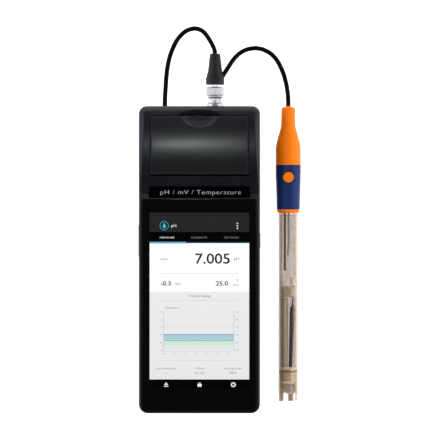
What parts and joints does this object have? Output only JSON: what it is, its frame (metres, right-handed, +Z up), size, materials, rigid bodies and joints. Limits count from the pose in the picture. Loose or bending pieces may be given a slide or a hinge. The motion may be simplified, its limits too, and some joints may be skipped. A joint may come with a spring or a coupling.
{
  "type": "handheld ph meter",
  "caption": "Handheld pH meter with a large touch display, a thermal printer under a hinged lid, a bayonet lead set and a long combination pH electrode.",
  "frame": {"origin": "middle of the flat back face, which lies on the table", "axes": "+Z up from the back through the display, +Y towards the printer and connector end, +X to the right of the display"},
  "size_m": [0.1113, 0.2655, 0.04],
  "materials": {
    "black_plastic": "moulded black plastic, fine texture, satin",
    "gloss_black": "polished black plastic",
    "screen_glass": "black-bordered cover glass",
    "display_panel": "lit display panel",
    "clear_glass": "clear glass",
    "rubber": "black rubber and PVC, matte",
    "nickel": "nickel plate",
    "gold": "gold plate",
    "steel": "plated steel",
    "board": "green solder mask",
    "battery_wrap": "shrink wrap",
    "paper": "thermal paper",
    "cardboard": "roll core",
    "white_plastic": "natural acetal",
    "head_ceramic": "glazed ceramic print head",
    "orange_plastic": "moulded orange plastic",
    "blue_plastic": "moulded dark blue plastic",
    "clear_plastic": "clear polycarbonate, slightly warm",
    "cream_plastic": "cream silicone seal",
    "brown_rod": "coated silver wire in dark glass",
    "tan_fill": "gel and fibre filling"
  },
  "bodies": {
    "base": {"rear_housing": "black_plastic", "front_housing": "black_plastic", "housing_screw_1": "steel", "housing_screw_2": "steel", "housing_screw_3": "steel", "housing_screw_4": "steel", "camera_window": "clear_glass", "flash_window": "clear_glass", "label_strip": "gloss_black", "touch_glass": "screen_glass", "display_module": "display_panel", "main_board": "board", "sensor_board": "board", "battery_pack": "battery_wrap", "speaker": "rubber", "usb_port": "steel", "lid_hinge_pin": "steel", "printer_frame": "black_plastic", "idler_pin": "steel", "feed_motor": "steel", "print_head": "head_ceramic", "head_bracket": "steel", "bnc_socket": "nickel", "bnc_nut": "nickel", "bnc_contact": "gold", "temp_socket": "black_plastic"},
    "lid": {"printer_lid": "gloss_black"},
    "platen": {"platen_roller": "rubber", "platen_shaft": "steel", "platen_gear": "white_plastic"},
    "feed_idler": {"idler_gear": "white_plastic"},
    "feed_drive": {"motor_gear": "gold"},
    "paper": {"paper_roll": "paper", "paper_core": "cardboard"},
    "power_key": {"power_button": "gloss_black"},
    "volume_key": {"volume_button": "gloss_black"},
    "cover": {"battery_cover": "black_plastic"},
    "lead_set": {"bnc_plug": "nickel", "bnc_pin": "gold", "cable_boot": "rubber", "temp_plug_pin": "nickel", "temp_plug": "rubber", "temp_lead": "rubber", "electrode_cable_boot_end": "rubber"},
    "bnc_ring": {"bnc_sleeve": "nickel"},
    "probe": {"electrode_cable_probe_end": "rubber", "probe_cap": "orange_plastic", "probe_sleeve": "blue_plastic", "seal_ring": "orange_plastic", "body_tube": "clear_plastic", "bulb_guard": "clear_plastic", "signal_wire": "rubber", "inner_tube": "white_plastic", "cable_seal": "cream_plastic", "support_ring": "cream_plastic", "reference_rod": "brown_rod", "reference_fill": "tan_fill", "sensor_mount": "gold", "glass_bulb": "clear_glass"},
    "refill": {"refill_plug": "orange_plastic"}
  },
  "joints": [
    {"name": "lid_hinge", "type": "hinge", "parent": "base", "child": "lid", "pos_m": [0, 0.0601, 0.0346], "axis": [1, 0, 0], "range_deg": [0, 95]},
    {"name": "platen_spin", "type": "hinge", "parent": "lid", "child": "platen", "pos_m": [0, 0.0921, 0.0265], "axis": [1, 0, 0], "continuous": true},
    {"name": "idler_spin", "type": "hinge", "parent": "base", "child": "feed_idler", "pos_m": [0.032, 0.08971, 0.01705], "axis": [1, 0, 0], "continuous": true},
    {"name": "drive_spin", "type": "hinge", "parent": "base", "child": "feed_drive", "pos_m": [0.032, 0.09463, 0.01081], "axis": [1, 0, 0], "continuous": true},
    {"name": "paper_spin", "type": "hinge", "parent": "base", "child": "paper", "pos_m": [0, 0.0708, 0.0222], "axis": [1, 0, 0], "continuous": true},
    {"name": "power_press", "type": "slide", "parent": "base", "child": "power_key", "axis": [-1, 0, 0], "range_m": [0, 0.0005], "stiffness_N_per_m": 900},
    {"name": "volume_press", "type": "slide", "parent": "base", "child": "volume_key", "axis": [1, 0, 0], "range_m": [0, 0.0005], "stiffness_N_per_m": 900},
    {"name": "cover_slide", "type": "slide", "parent": "base", "child": "cover", "axis": [0, -1, 0], "range_m": [0, 0.08]},
    {"name": "lead_pull", "type": "slide", "parent": "base", "child": "lead_set", "axis": [0, 1, 0], "range_m": [0, 0.03]},
    {"name": "bayonet_turn", "type": "hinge", "parent": "lead_set", "child": "bnc_ring", "pos_m": [0.0107, 0.101, 0.0082], "axis": [0, -1, 0], "range_deg": [0, 55]},
    {"name": "probe_swing", "type": "hinge", "parent": "lead_set", "child": "probe", "pos_m": [0.0384, 0.1451, 0.00165], "axis": [0, 0, 1], "range_deg": [-2, 30]},
    {"name": "refill_pull", "type": "slide", "parent": "probe", "child": "refill", "axis": [0, 0, 1], "range_m": [0, 0.008]}
  ],
  "couplings": [
    {"joint": "idler_spin", "follows": "platen_spin", "ratio": -1},
    {"joint": "drive_spin", "follows": "platen_spin", "ratio": 1.6}
  ]
}
